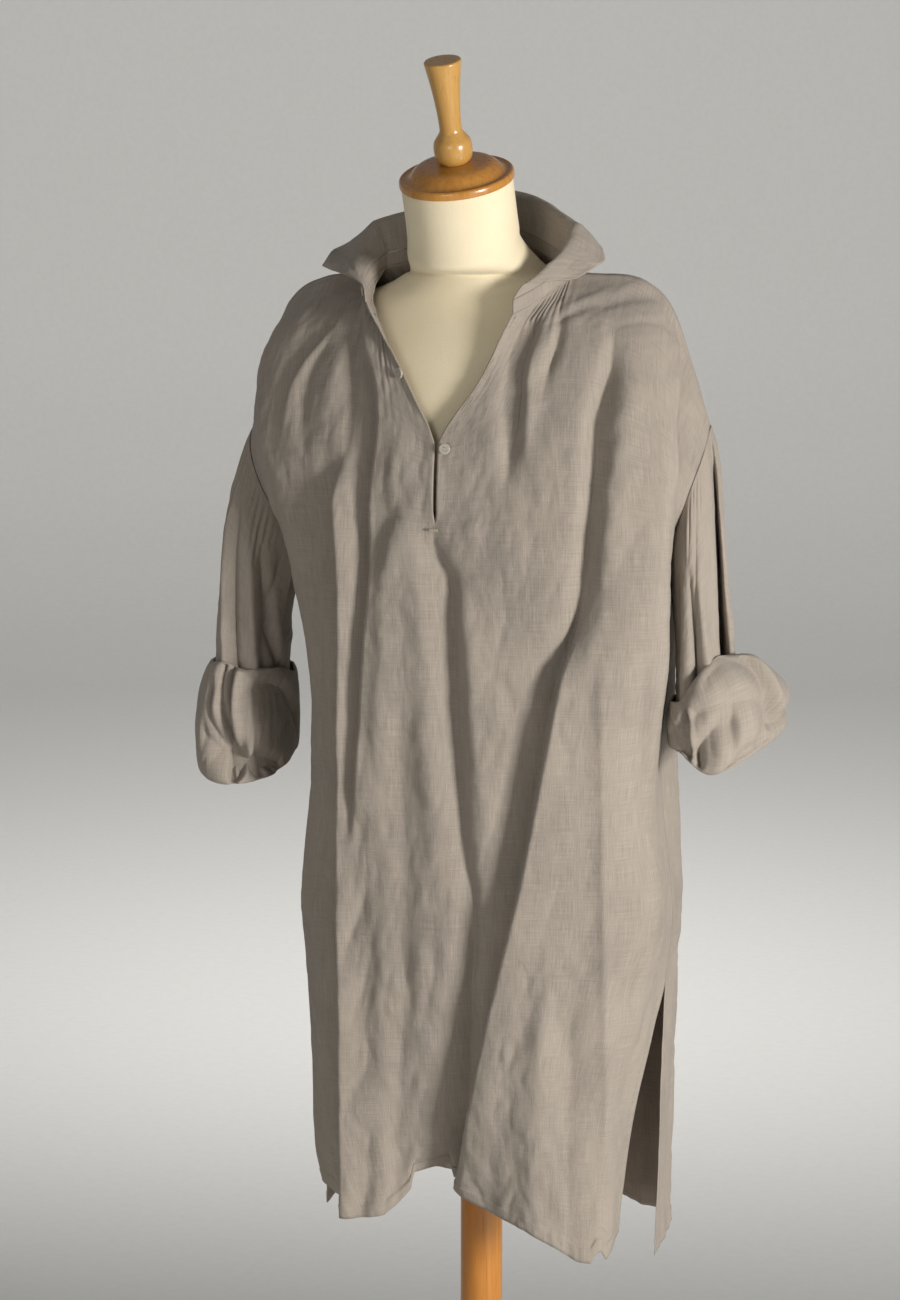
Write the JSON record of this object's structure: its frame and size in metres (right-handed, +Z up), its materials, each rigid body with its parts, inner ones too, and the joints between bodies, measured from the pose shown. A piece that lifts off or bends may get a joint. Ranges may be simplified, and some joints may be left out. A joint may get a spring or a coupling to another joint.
{
  "type": "linen shirt on a dress form with stand",
  "caption": "Knee-length pull-over shirt of plain linen with open collar, front slit and rolled sleeves, worn by a limbless dress form on a wooden stand.",
  "frame": {"origin": "middle of the underside of the stand's base, on the floor", "axes": "+Z up; the shirt's front faces -Y; the wearer's left is +X"},
  "size_m": [0.6287, 0.4, 1.7444],
  "materials": {
    "linen": "plain weave with slubs, matt, unbleached taupe",
    "button": "pale grey-beige, satin",
    "form_cover": "cream jersey, matt",
    "cap_wood": "varnished, satin, golden brown",
    "finial_wood": "varnished, satin, pale honey",
    "pole_wood": "varnished, satin, orange honey",
    "base_wood": "varnished, satin, golden brown"
  },
  "bodies": {
    "root": {"front_panel": "linen", "back_panel": "linen", "neckband": "linen", "collar": "linen", "placket_left": "linen", "placket_right": "linen", "slit_tack": "linen", "sleeve_left": "linen", "sleeve_right": "linen", "cuff_roll_left": "linen", "cuff_roll_right": "linen", "button_front": "button", "button_neck": "button", "button_band": "button", "dress_form": "form_cover", "neck_cap": "cap_wood", "finial": "finial_wood", "pole": "pole_wood", "stand_base": "base_wood"}
  },
  "joints": []
}
